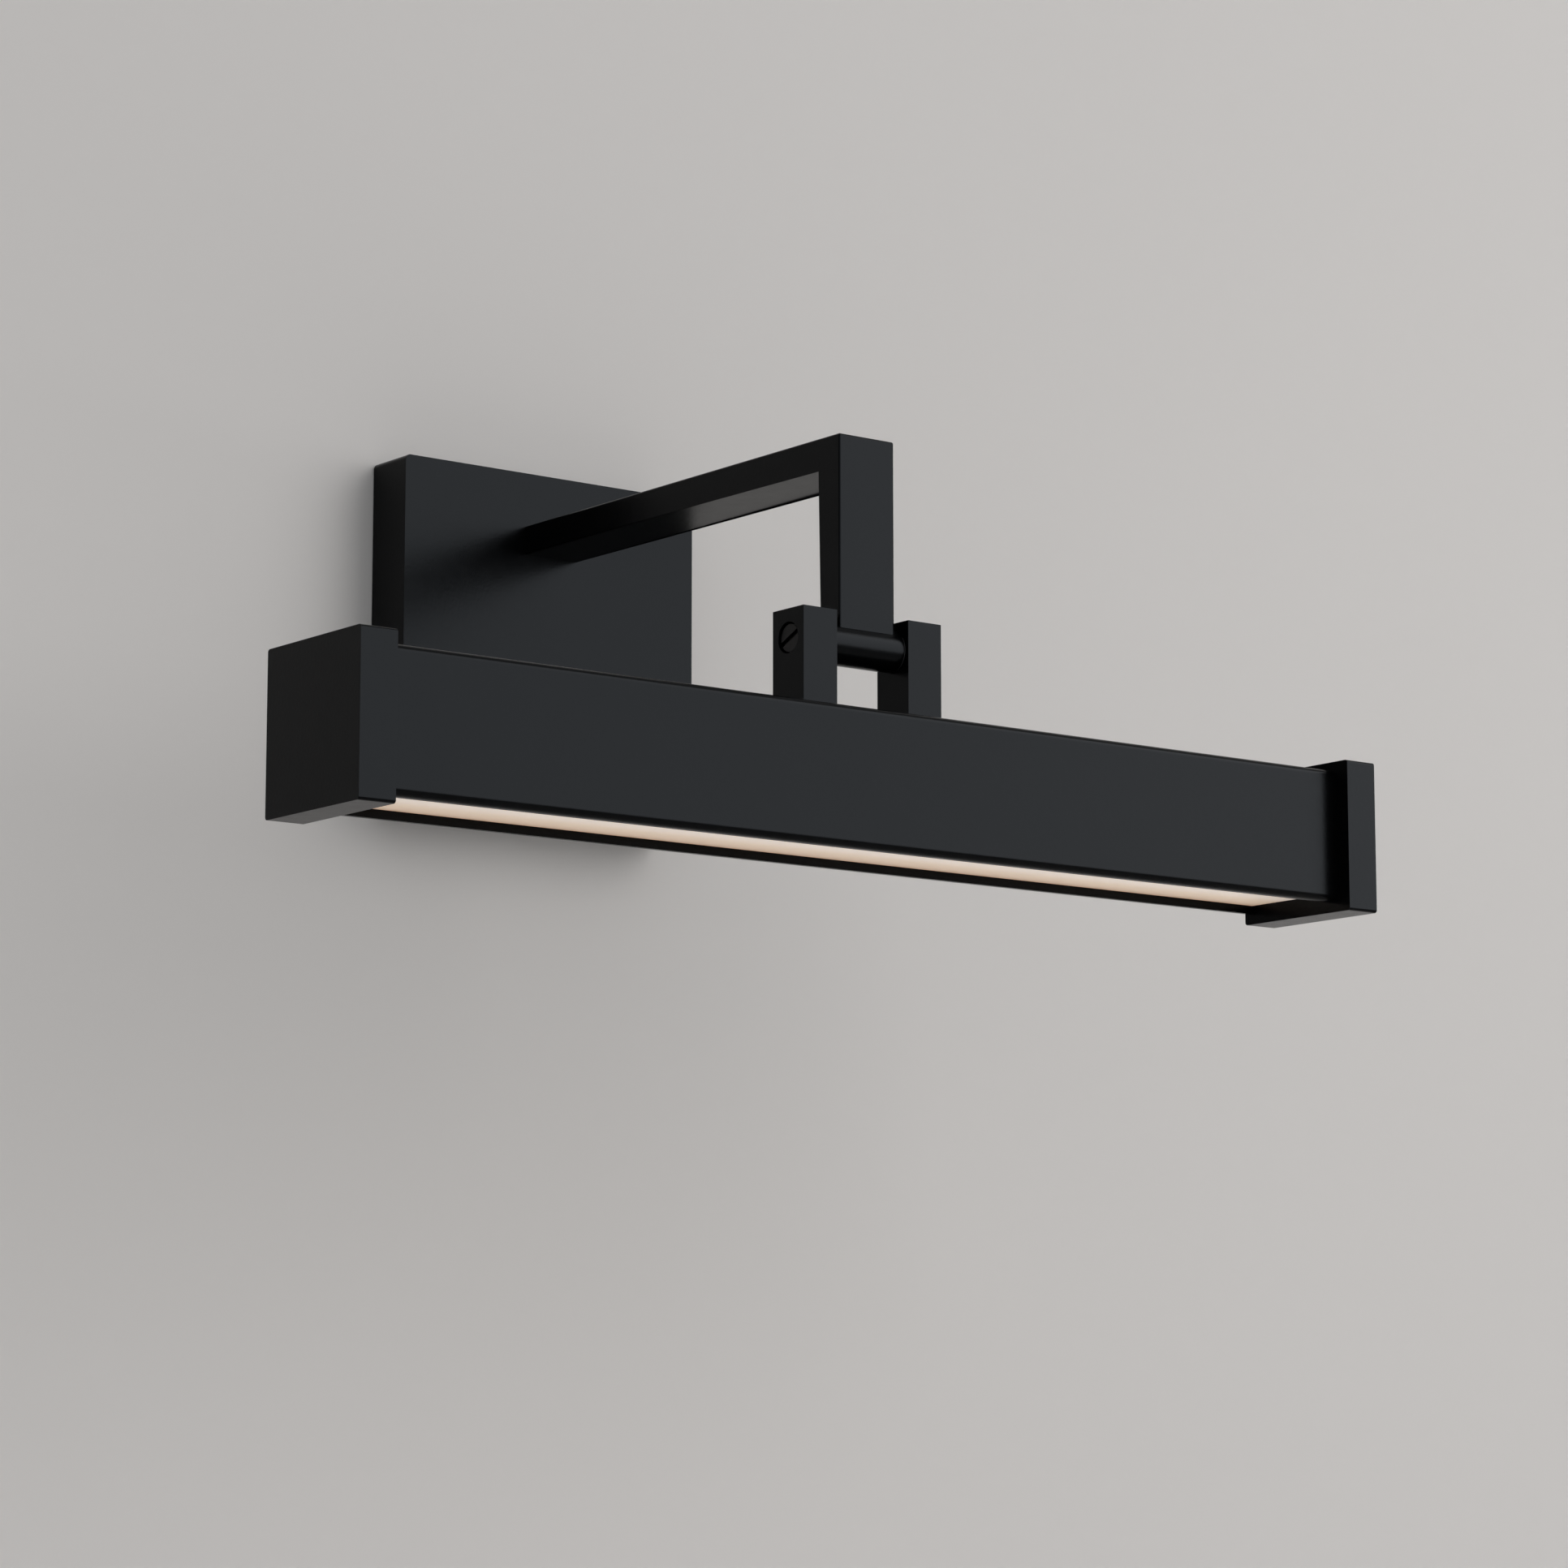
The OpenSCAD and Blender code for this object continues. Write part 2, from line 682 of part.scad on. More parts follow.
module end_cap() {
    face = housing_len/2;
    out = bar_len/2;
    floor_t = 3;
    difference() {
        union() {
            along_x([face, out]) translate([cap_y, cap_z]) soft_rectangle(cap_side, cap_side, 1);
            block(
                [face - spigot_len, face + cut],
                about(housing_y, cavity_d/2 - slack),
                [guide_z, housing_top - housing_wall - slack]
            );
        }
        // hollowed from the inside
        block(
            [face - spigot_len - cut, out - floor_t],
            about(housing_y, cavity_d/2 - spigot_wall),
            [guide_z + spigot_wall, housing_top - housing_wall - spigot_wall]
        );
        for (z = cap_screw_z)
            rod_y(m3_hole, cap_screw_x,
                  from(housing_front + housing_d - housing_wall, [-2*spigot_wall, housing_wall]), z);
    }
}

module end_cap_left() {
    color("#26272a") mirror([1, 0, 0]) end_cap();
}

module end_cap_right() {
    color("#26272a") end_cap();
}

module end_cap_screws() {
    outer = housing_front + housing_d - 2*slack;
    socket_t = 1.4;
    color("#1d1e20") for (s = [-1, 1], z = cap_screw_z)
        translate([s*cap_screw_x, 0, z]) difference() {
            rod_y(m3, 0, [outer - cap_screw_len, outer], 0);
            rod_y(small_socket, 0, [outer - socket_t, outer + cut], 0);
        }
}

module head_lead() {
    color("#1b1b1d") wire(head_lead_route, lead_d);
}

module lead_grommet() {
    under = housing_top - housing_wall;
    flange_t = 1;
    color("#15161a") difference() {
        union() {
            rod_z(grommet_d - 2*screw_play, channel_x, -reach, [under - cut, housing_top]);
            rod_z(grommet_d + 1, channel_x, -reach, [under - flange_t, under]);
        }
        rod_z(lead_d + side_gap, channel_x, -reach, [under - flange_t - cut, housing_top + cut]);
    }
}

canopy_cover();
mounting_crossbar();
crossbar_lugs();
canopy_screws();
ground_screw();
backing_plate();
arm_screws();
arm_lock_washers();
canopy_grommet();
led_driver();
driver_pad();
wire_connectors();
line_lead();
neutral_lead();
ground_lead();
arm_horizontal();
arm_vertical();
arm_root_plug();
pivot_barrel();
arm_lead();
ear_left();
ear_right();
ear_screws();
pivot_screw_left();
pivot_plug_right();
pivot_bush();
friction_washers();
bar_housing();
led_tray();
tray_screws();
led_board();
led_chips();
board_connector();
diffuser();
end_cap_left();
end_cap_right();
end_cap_screws();
head_lead();
lead_grommet();
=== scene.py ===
import json
import math

import bmesh
import bpy
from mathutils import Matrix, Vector


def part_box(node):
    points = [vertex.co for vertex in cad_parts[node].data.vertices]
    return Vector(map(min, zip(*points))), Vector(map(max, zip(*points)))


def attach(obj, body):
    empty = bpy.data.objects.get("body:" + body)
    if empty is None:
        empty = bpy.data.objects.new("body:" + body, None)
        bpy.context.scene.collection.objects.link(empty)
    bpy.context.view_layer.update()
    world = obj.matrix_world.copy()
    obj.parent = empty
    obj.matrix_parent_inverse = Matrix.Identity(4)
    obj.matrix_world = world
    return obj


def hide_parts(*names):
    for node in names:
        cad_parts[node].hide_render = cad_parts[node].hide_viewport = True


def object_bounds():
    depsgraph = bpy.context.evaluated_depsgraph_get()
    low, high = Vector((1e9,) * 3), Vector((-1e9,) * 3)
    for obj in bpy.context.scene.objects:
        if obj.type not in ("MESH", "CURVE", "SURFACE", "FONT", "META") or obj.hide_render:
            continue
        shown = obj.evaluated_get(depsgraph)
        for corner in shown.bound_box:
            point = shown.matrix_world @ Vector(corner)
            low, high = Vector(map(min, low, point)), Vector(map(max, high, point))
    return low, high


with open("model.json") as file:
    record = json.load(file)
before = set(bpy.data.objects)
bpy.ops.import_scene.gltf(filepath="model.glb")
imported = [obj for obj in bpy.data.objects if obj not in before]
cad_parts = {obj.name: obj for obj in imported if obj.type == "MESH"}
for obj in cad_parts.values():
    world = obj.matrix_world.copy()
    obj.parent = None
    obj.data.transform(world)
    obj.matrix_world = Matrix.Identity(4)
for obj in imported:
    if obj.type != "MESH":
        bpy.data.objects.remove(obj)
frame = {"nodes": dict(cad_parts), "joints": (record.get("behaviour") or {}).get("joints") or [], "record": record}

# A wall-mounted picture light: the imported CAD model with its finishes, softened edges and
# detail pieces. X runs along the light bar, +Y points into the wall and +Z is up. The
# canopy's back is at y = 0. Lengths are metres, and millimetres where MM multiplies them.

MM = 0.001
CAD_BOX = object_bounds()
ROOT = "wall_bracket"
HEAD = "light_head"
PIVOT = Vector(frame["joints"][0]["pos_m"])
LEAD_D = 3  # diameters of the leads' sheaths in millimetres
WIRE_D = 2


# ---- Materials ----

class Finish:
    """A procedural material: one Principled shader and the helpers that wire patterns into it."""

    def __init__(self, name, colour, roughness, metallic=0.0, specular=0.5):
        self.material = bpy.data.materials.new(name)
        self.material.use_nodes = True
        self.nodes = self.material.node_tree.nodes
        self.links = self.material.node_tree.links
        self.shader = self.nodes["Principled BSDF"]
        self.place = self.add("ShaderNodeTexCoord").outputs["Object"]
        self.shader.inputs["Base Color"].default_value = (*colour, 1.0)
        self.shader.inputs["Roughness"].default_value = roughness
        self.shader.inputs["Metallic"].default_value = metallic
        self.shader.inputs["Specular IOR Level"].default_value = specular

    def add(self, kind, **inputs):
        """A new node; each value that is an output socket is linked, and any other is set."""
        node = self.nodes.new(kind)
        for name, value in inputs.items():
            socket = node.inputs[name.replace("_", " ")]
            if isinstance(value, bpy.types.NodeSocket):
                self.links.new(value, socket)
            else:
                socket.default_value = value
        return node

    def stretched(self, x, y, z):
        """Object coordinates scaled along each axis."""
        return self.add("ShaderNodeMapping", Vector=self.place, Scale=(x, y, z)).outputs["Vector"]

    def noise(self, scale, detail=2.0, place=None):
        """Noise with scale features a metre, from about 0.25 to 0.75."""
        node = self.add("ShaderNodeTexNoise", Vector=place or self.place, Scale=scale, Detail=detail)
        return node.outputs["Fac"]

    def cells(self, scale):
        """Distance to the nearest of scattered points, scale of them a metre."""
        return self.add("ShaderNodeTexVoronoi", Vector=self.place, Scale=scale).outputs["Distance"]

    def spread(self, factor, low, high, start=0.3, end=0.7):
        """The factor's range from start to end carried over to low to high."""
        node = self.nodes.new("ShaderNodeMapRange")
        self.links.new(factor, node.inputs["Value"])
        for name, value in (("From Min", start), ("From Max", end), ("To Min", low), ("To Max", high)):
            node.inputs[name].default_value = value
        return node.outputs["Result"]

    def ramp(self, factor, *stops):
        """Colours along the factor, each stop given as (place, colour)."""
        node = self.nodes.new("ShaderNodeValToRGB")
        self.links.new(factor, node.inputs["Fac"])
        while len(node.color_ramp.elements) < len(stops):
            node.color_ramp.elements.new(0.5)
        for element, (place, colour) in zip(node.color_ramp.elements, stops):
            element.position = place
            element.color = (*colour, 1.0)
        return node.outputs["Color"]

    def tint(self, factor, low, high):
        """Varies the base colour from low to high."""
        self.links.new(self.ramp(factor, (0.3, low), (0.7, high)), self.shader.inputs["Base Color"])

    def wear(self, factor, low, high):
        """Varies the roughness from low to high."""
        self.links.new(self.spread(factor, low, high), self.shader.inputs["Roughness"])

    def relief(self, *layers):
        """Bump layers, each (height, depth in millimetres), one on top of the other."""
        normal = None
        for height, depth in layers:
            bump = self.add("ShaderNodeBump", Height=height, Distance=depth * MM, Strength=1.0)
            if normal:
                self.links.new(normal, bump.inputs["Normal"])
            normal = bump.outputs["Normal"]
        self.links.new(normal, self.shader.inputs["Normal"])


def black_coat():
    """Matte powder coat: fine orange peel under a finer grain."""
    f = Finish("black_coat", (0.0014, 0.0015, 0.0017), 0.25, specular=0.08)
    f.tint(f.noise(60, 3), (0.0011, 0.0012, 0.0014), (0.0017, 0.0018, 0.0020))
    f.wear(f.noise(240, 4), 0.235, 0.265)
    f.shader.inputs["Specular Tint"].default_value = (0.90, 0.96, 1.0, 1.0)
    f.relief((f.noise(900, 2), 0.025), (f.noise(3800, 2), 0.006))
    return f.material


def black_hardware():
    """Black oxide on steel, faintly mottled."""
    f = Finish("black_hardware", (0.004, 0.004, 0.0045), 0.34, metallic=0.3, specular=0.2)
    f.tint(f.noise(700, 4), (0.003, 0.003, 0.0035), (0.008, 0.0075, 0.0075))
    f.wear(f.noise(1400, 3), 0.28, 0.44)
    f.relief((f.noise(5000, 2), 0.004))
    return f.material


def zinc_steel():
    """Bright zinc plate over rolled steel."""
    f = Finish("zinc_steel", (0.58, 0.59, 0.61), 0.32, metallic=1.0)
    f.tint(f.cells(260), (0.46, 0.475, 0.50), (0.66, 0.665, 0.67))
    f.wear(f.noise(220, 5), 0.24, 0.44)
    f.relief((f.noise(600, 3, f.stretched(1.0, 1.0, 0.12)), 0.012), (f.noise(4200, 2), 0.003))
    return f.material


def aluminium():
    """Mill-finish aluminium with drawing lines along X."""
    f = Finish("aluminium", (0.74, 0.75, 0.77), 0.34, metallic=1.0)
    lines = f.noise(2600, 4, f.stretched(0.03, 1.0, 1.0))
    f.tint(lines, (0.66, 0.67, 0.69), (0.80, 0.81, 0.83))
    f.wear(lines, 0.28, 0.42)
    f.relief((lines, 0.006))
    return f.material


def bronze():
    """Sintered bronze with open pores."""
    f = Finish("bronze", (0.55, 0.36, 0.16), 0.38, metallic=1.0)
    f.tint(f.noise(900, 4), (0.42, 0.26, 0.11), (0.62, 0.42, 0.20))
    f.relief((f.cells(4200), 0.010))
    return f.material


def green_screw():
    """Green passivated steel."""
    f = Finish("green_screw", (0.05, 0.28, 0.09), 0.34, metallic=0.55)
    f.tint(f.noise(800, 3), (0.035, 0.22, 0.07), (0.07, 0.34, 0.12))
    f.wear(f.noise(1600, 3), 0.26, 0.42)
    f.relief((f.noise(4500, 2), 0.004))
    return f.material


def driver_case():
    """Moulded light grey plastic with a spark-eroded texture."""
    f = Finish("driver_case", (0.72, 0.72, 0.69), 0.48)
    f.tint(f.noise(60, 3), (0.69, 0.69, 0.655), (0.75, 0.75, 0.72))
    f.wear(f.noise(500, 3), 0.42, 0.56)
    f.relief((f.noise(2600, 3), 0.018))
    return f.material


def foam():
    """Closed-cell foam tape."""
    f = Finish("foam", (0.09, 0.09, 0.095), 0.85)
    f.tint(f.noise(1500, 3), (0.06, 0.06, 0.065), (0.12, 0.12, 0.125))
    f.relief((f.cells(1900), 0.12))
    return f.material


def connector():
    """Moulded orange plastic."""
    f = Finish("connector", (0.78, 0.27, 0.04), 0.36)
    f.tint(f.noise(300, 3), (0.70, 0.22, 0.03), (0.82, 0.30, 0.05))
    f.wear(f.noise(900, 3), 0.30, 0.44)
    f.relief((f.noise(2400, 2), 0.010))
    return f.material


def vinyl(name, low, high):
    """A wire's vinyl sheath, slightly uneven from the extruder."""
    f = Finish(name, high, 0.40)
    f.tint(f.noise(240, 3), low, high)
    f.wear(f.noise(700, 3), 0.34, 0.48)
    f.relief((f.noise(900, 2), 0.020))
    return f.material


def rubber():
    """Soft black rubber."""
    f = Finish("rubber", (0.011, 0.011, 0.012), 0.68, specular=0.35)
    f.tint(f.noise(600, 3), (0.008, 0.008, 0.009), (0.016, 0.016, 0.017))
    f.relief((f.noise(3000, 3), 0.012))
    return f.material


def washer():
    """Filled polymer with pale flecks."""
    f = Finish("washer", (0.06, 0.06, 0.065), 0.5)
    f.tint(f.noise(3200, 4), (0.04, 0.04, 0.044), (0.10, 0.10, 0.10))
    f.relief((f.noise(3600, 2), 0.006))
    return f.material


def board():
    """White solder resist with the tracks showing through as a faint relief."""
    f = Finish("board", (0.84, 0.84, 0.81), 0.30)
    tracks = f.nodes.new("ShaderNodeTexBrick")
    f.links.new(f.place, tracks.inputs["Vector"])
    tracks.inputs["Scale"].default_value = 90
    tracks.inputs["Color1"].default_value = (1, 1, 1, 1)
    tracks.inputs["Color2"].default_value = (0.9, 0.9, 0.9, 1)
    tracks.inputs["Mortar"].default_value = (0, 0, 0, 1)
    height = tracks.outputs["Fac"]
    f.tint(height, (0.86, 0.86, 0.83), (0.78, 0.79, 0.75))
    f.relief((height, 0.03), (f.noise(1800, 2), 0.004))
    return f.material


def phosphor():
    """The yellow phosphor over the diodes."""
    f = Finish("phosphor", (0.90, 0.66, 0.14), 0.45)
    f.tint(f.noise(5200, 3), (0.85, 0.58, 0.09), (0.94, 0.74, 0.20))
    f.relief((f.noise(6000, 2), 0.010))
    return f.material


def opal():
    """Opal acrylic with a painted glow: an emission brightest towards its front edge and deeper orange towards the
    back stands in for the light of the diodes behind it, which give none.
    """
    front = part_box("diffuser")[0].y
    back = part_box("diffuser")[1].y
    f = Finish("opal", (0.86, 0.79, 0.72), 0.34)
    y = f.add("ShaderNodeSeparateXYZ", Vector=f.place).outputs["Y"]
    across = f.spread(y, 0.0, 1.0, front, back)
    # painted glow: emission colour ramped across the diffuser's depth, pale at the front and orange at the back,
    # in place of the diodes' light
    painted_glow = f.ramp(across, (0.5, (0.74, 0.62, 0.53)), (0.7, (0.66, 0.47, 0.30)),
                  (0.95, (0.62, 0.37, 0.21)))
    f.links.new(painted_glow, f.shader.inputs["Emission Color"])
    f.shader.inputs["Emission Strength"].default_value = 0.45
    f.tint(f.noise(400, 3), (0.84, 0.77, 0.70), (0.88, 0.81, 0.74))
    f.wear(f.noise(900, 3), 0.30, 0.42)
    f.relief((f.noise(2600, 2), 0.006))
    return f.material


FINISHES = {
    "black_coat": black_coat(),
    "black_hardware": black_hardware(),
    "zinc_steel": zinc_steel(),
    "aluminium": aluminium(),
    "bronze": bronze(),
    "green_screw": green_screw(),
    "driver_case": driver_case(),
    "foam": foam(),
    "connector": connector(),
    "wire_black": vinyl("wire_black", (0.009, 0.009, 0.010), (0.016, 0.016, 0.018)),
    "wire_white": vinyl("wire_white", (0.70, 0.69, 0.65), (0.80, 0.79, 0.75)),
    "wire_green": vinyl("wire_green", (0.03, 0.24, 0.07), (0.05, 0.32, 0.10)),
    "rubber": rubber(),
    "washer": washer(),
    "board": board(),
    "led": phosphor(),
    "opal": opal(),
}
SLOT_OF = {row["node"]: row["material_slot"] for row in frame["record"]["subparts"]}


# ---- Building helpers ----

def smooth_faces():
    """A modifier group that shades every face smooth, so that weighted normals can round the bevels."""
    group = bpy.data.node_groups.new("smooth_faces", "GeometryNodeTree")
    for way in ("INPUT", "OUTPUT"):
        group.interface.new_socket("Geometry", in_out=way, socket_type="NodeSocketGeometry")
    start = group.nodes.new("NodeGroupInput")
    shade = group.nodes.new("GeometryNodeSetShadeSmooth")
    end = group.nodes.new("NodeGroupOutput")
    group.links.new(start.outputs[0], shade.inputs["Geometry"])
    group.links.new(shade.outputs[0], end.inputs[0])
    return group


SMOOTH = smooth_faces()


SAME_PLACE = 0.01 * MM
SAME_PLANE = math.radians(0.4)
SHARP_EDGE = math.radians(32)


def even_normals(piece):
    """Lets a piece's large faces set the shading, so that only its rounded edges look round."""
    normals = piece.modifiers.new("normals", "WEIGHTED_NORMAL")
    normals.weight = 100
    normals.keep_sharp = False


def soften(piece, width, steps=3):
    """Rounds a piece's sharp edges by width millimetres, with modifiers only."""
    weld = piece.modifiers.new("weld", "WELD")
    weld.merge_threshold = SAME_PLACE
    flat = piece.modifiers.new("flat", "DECIMATE")
    flat.decimate_type = "DISSOLVE"
    flat.angle_limit = SAME_PLANE
    shade = piece.modifiers.new("shade", "NODES")
    shade.node_group = SMOOTH
    bevel = piece.modifiers.new("bevel", "BEVEL")
    bevel.width = width * MM
    bevel.segments = steps
    bevel.limit_method = "ANGLE"
    bevel.angle_limit = SHARP_EDGE
    bevel.loop_slide = False
    even_normals(piece)


def piece_from(name, bm, body, slot, *finishes):
    """Turns a bmesh into a piece that rides on a body, with its slot's finish or the ones listed."""
    bmesh.ops.recalc_face_normals(bm, faces=bm.faces)
    mesh = bpy.data.meshes.new(name)
    bm.to_mesh(mesh)
    bm.free()
    piece = bpy.data.objects.new(name, mesh)
    bpy.context.collection.objects.link(piece)
    for finish in finishes or (slot,):
        mesh.materials.append(FINISHES[finish])
    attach(piece, body)
    return piece


def hexagon(angle):
    """A hexagon's radius at an angle, as a share of the distance to its corners."""
    turn = angle % (math.pi / 3) - math.pi / 6
    return math.cos(math.pi / 6) / math.cos(turn)


def turned(bm, centre, axis, rings, sides=48):
    """Adds a turned solid: rings are (place along the axis, radius, share) in millimetres, where
    share is a function of the angle that gives the section, or None for a circle."""
    axis = Vector(axis).normalized()
    across = axis.orthogonal().normalized()
    other = axis.cross(across)
    loops = []
    for along, radius, share in rings:
        loop = []
        for i in range(sides):
            angle = math.tau * i / sides
            r = radius * (share(angle) if share else 1.0) * MM
            spot = axis * along * MM + across * r * math.cos(angle) + other * r * math.sin(angle)
            loop.append(bm.verts.new(centre + spot))
        loops.append(loop)
    for low, high in zip(loops, loops[1:]):
        for i in range(sides):
            j = (i + 1) % sides
            bm.faces.new((low[i], low[j], high[j], high[i]))
    bm.faces.new(loops[0])
    bm.faces.new(loops[-1])


def block(bm, low, high):
    """Adds a box between two corners, and returns its faces."""
    made = bmesh.ops.create_cube(bm, size=1.0)
    centre = (low + high) / 2
    for vert in made["verts"]:
        vert.co = Vector(c * s for c, s in zip(vert.co, high - low)) + centre
    return {face for vert in made["verts"] for face in vert.link_faces}


# ---- The CAD nodes that stay ----

EDGE = {
    "canopy_cover": 0.7, "mounting_crossbar": 0.3, "crossbar_lugs": 0.3, "canopy_screws": 0.15,
    "ground_screw": 0.3, "backing_plate": 0.3, "arm_lock_washers": 0.15, "canopy_grommet": 0.2,
    "led_driver": 0.6, "driver_pad": 0.2, "arm_root_plug": 0.3, "pivot_barrel": 0.4,
    "ear_left": 0.6, "ear_right": 0.6, "ear_screws": 0.2, "pivot_screw_left": 0.5,
    "pivot_plug_right": 0.5, "pivot_bush": 0.15, "friction_washers": 0.08, "bar_housing": 0.6,
    "led_tray": 0.25, "tray_screws": 0.2, "led_board": 0.2, "board_connector": 0.4,
    "diffuser": 0.25, "end_cap_left": 0.7, "end_cap_right": 0.7, "end_cap_screws": 0.12,
    "lead_grommet": 0.15,
}
for node, width in EDGE.items():
    soften(frame["nodes"][node], width)
for node, piece in frame["nodes"].items():
    for slot in piece.material_slots:
        slot.material = FINISHES[SLOT_OF[node]]


# ---- Arm ----

def arm_tube():
    """The cranked arm as one welded tube, open at its root and coped over the barrel."""
    wall = 1.5 * MM
    rounding = 0.7 * MM
    clearance = 0.05 * MM  # between the cope and the barrel
    steps = 12  # of the cope's curve
    low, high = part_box("arm_vertical")
    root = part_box("arm_horizontal")[1].y
    thick = high.y - low.y
    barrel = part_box("pivot_barrel")
    cope = (barrel[1].y - barrel[0].y) / 2 + clearance
    bm = bmesh.new()

    def shell(inset):
        """Both sides of the tube's outline: root top, outer corner, coped end, inner corner, root."""
        front, back, top = low.y + inset, low.y + thick - inset, high.z - inset
        under = high.z - thick + inset
        outline = [(root, top), (front, top)]
        for i in range(steps + 1):
            y = front + (back - front) * i / steps
            outline.append((y, PIVOT.z + math.sqrt(cope**2 - (y - PIVOT.y) ** 2)))
        outline += [(back, under), (root, under)]
        half = high.x - inset
        left, right = ([bm.verts.new((x, y, z)) for y, z in outline] for x in (-half, half))
        bm.faces.new(left)
        bm.faces.new(right)
        for i in (0, 1, steps + 2, steps + 3):  # the root and the coped end stay open
            bm.faces.new((left[i], left[i + 1], right[i + 1], right[i]))
        return left, right

    # the rims between both shells, at the coped end and the root: first the sides, then across
    outer, inner = shell(0.0), shell(wall)
    for a, b in zip(outer, inner):
        for i in [*range(2, steps + 2), -1]:
            bm.faces.new((a[i], a[i + 1], b[i + 1], b[i]))
    for i in (2, steps + 2, 0, -1):
        bm.faces.new((outer[0][i], outer[1][i], inner[1][i], inner[0][i]))
    rounded = [bm.edges.get((outer[0][i], outer[1][i])) for i in (1, steps + 3)]
    for side in outer:
        rounded += [bm.edges.get((side[i], side[i + 1])) for i in (0, 1, steps + 2, steps + 3)]
    bmesh.ops.bevel(bm, geom=rounded, offset=rounding, segments=3, profile=0.5, affect="EDGES")
    for face in bm.faces:
        face.smooth = True
    piece = piece_from("arm_tube", bm, ROOT, "black_coat")
    even_normals(piece)
    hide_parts("arm_horizontal", "arm_vertical")


arm_tube()


# ---- Inside the canopy ----

def arm_screws():
    """The two cap screws that hold the arm: round heads with hexagon sockets."""
    bm = bmesh.new()
    low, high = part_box("arm_screws")
    z = (low.z + high.z) / 2
    head, head_h, shank, socket = 3.4, 2.8, 2.0, 1.5
    length = (high.y - low.y) / MM
    start = length - head_h
    for x in (low.x + head * MM, high.x - head * MM):
        turned(bm, Vector((x, low.y, z)), (0, 1, 0), [
            (0, shank - 0.4, None), (0.4, shank, None), (start, shank, None),
            (start, head - 0.2, None), (start + 0.2, head, None), (length - 0.7, head, None),
            (length - 0.2, head - 0.35, None), (length, head - 0.9, None),
            (length, socket, hexagon), (length - 1.6, socket - 0.05, hexagon),
        ])
    piece = piece_from("arm_cap_screws", bm, ROOT, "zinc_steel")
    soften(piece, 0.06, steps=2)
    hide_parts("arm_screws")


def twist_connectors():
    """Three twist-on wire connectors: a plain skirt under a ribbed grip."""
    ribs, rib_depth = 12, 0.10
    bm = bmesh.new()
    low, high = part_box("wire_connectors")
    radius = (high.y - low.y) / 2
    length = (high.z - low.z) / MM
    middle = (low.x + high.x) / 2

    def ribbed(angle):
        return 1.0 - rib_depth * (0.5 - 0.5 * math.cos(angle * ribs)) ** 2

    for x in (low.x + radius, middle, high.x - radius):
        turned(bm, Vector((x, low.y + radius, low.z)), (0, 0, 1), [
            (2.5, 2.6, None), (0.0, 3.7, None), (0.0, 4.5, None), (0.3, 4.8, None),
            (4.4, 4.75, None), (5.2, 4.4, None), (5.9, 4.1, ribbed), (12.0, 3.65, ribbed),
            (length - 2.2, 3.0, ribbed), (length - 0.9, 2.5, ribbed), (length - 0.2, 1.8, None),
            (length, 1.1, None),
        ], sides=96)
    for face in bm.faces:
        face.smooth = True
    piece = piece_from("twist_connectors", bm, ROOT, "connector")
    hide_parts("wire_connectors")


def driver_details():
    """The driver's lid with its two screws, and the rubber bushes that its wires leave through."""
    low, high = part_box("led_driver")
    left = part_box("driver_pad")[0].x - 3 * MM  # the case's side, without its fixing tabs
    middle = (left + high.x) / 2
    face = high.y - 0.6 * MM  # the bottom of the lid's recess
    lid_t = 0.5 * MM
    margin = Vector((2.2, 0, 2.2)) * MM
    rib_count, rib_start, rib_pitch = 7, 24 * MM, 6 * MM
    rib_reach, rib_w = 10 * MM, 1.6 * MM
    bm = bmesh.new()
    block(bm, Vector((left, face, low.z)) + margin, Vector((high.x, face + lid_t, high.z)) - margin)
    for i in range(rib_count):
        z = low.z + rib_start + rib_pitch * i
        block(bm, Vector((middle - rib_reach, face + 0.3 * MM, z)),
              Vector((middle + rib_reach, high.y, z + rib_w)))
    lid = piece_from("driver_lid", bm, ROOT, "driver_case")
    soften(lid, 0.15)

    bm = bmesh.new()
    screw_in = 7 * MM
    for z in (low.z + screw_in, high.z - screw_in):
        turned(bm, Vector((middle, face + 0.2 * MM, z)), (0, 1, 0), [
            (0.0, 2.6, None), (0.35, 2.6, None), (0.4, 2.5, None), (0.4, 1.1, hexagon),
            (0.0, 1.0, hexagon),
        ])
    screws = piece_from("driver_lid_screws", bm, ROOT, "zinc_steel")
    soften(screws, 0.04, steps=2)

    bm = bmesh.new()
    for x, y, way, wire in ((-28, -11, 1, 1.5), (-38, -11, -1, 1.0), (-32, -6.6, -1, 1.0)):
        z = high.z if way > 0 else low.z
        turned(bm, Vector((x * MM, y * MM, z)), (0, 0, way), [
            (-0.5, wire + 0.9, None), (0.0, wire + 0.9, None), (0.3, wire + 0.8, None),
            (1.8, wire + 0.35, None), (2.0, wire + 0.15, None), (2.0, wire, None), (-0.5, wire, None),
        ])
    bushes = piece_from("driver_wire_bushes", bm, ROOT, "rubber")
    soften(bushes, 0.05, steps=2)


def lead(name, node, body, diameter, route):
    """A lead's sheath: one smooth curve along its route, given in millimetres."""
    curve = bpy.data.curves.new(name, "CURVE")
    curve.dimensions = "3D"
    curve.bevel_depth = diameter / 2 * MM
    curve.bevel_resolution = 6
    curve.use_fill_caps = True
    spline = curve.splines.new("NURBS")
    spline.points.add(len(route) - 1)
    for point, place in zip(spline.points, route):
        point.co = (*(Vector(place) * MM), 1.0)
    spline.order_u = 3
    spline.use_endpoint_u = True
    spline.resolution_u = 6
    piece = bpy.data.objects.new(name, curve)
    bpy.context.collection.objects.link(piece)
    curve.materials.append(FINISHES[SLOT_OF[node]])
    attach(piece, body)
    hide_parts(node)


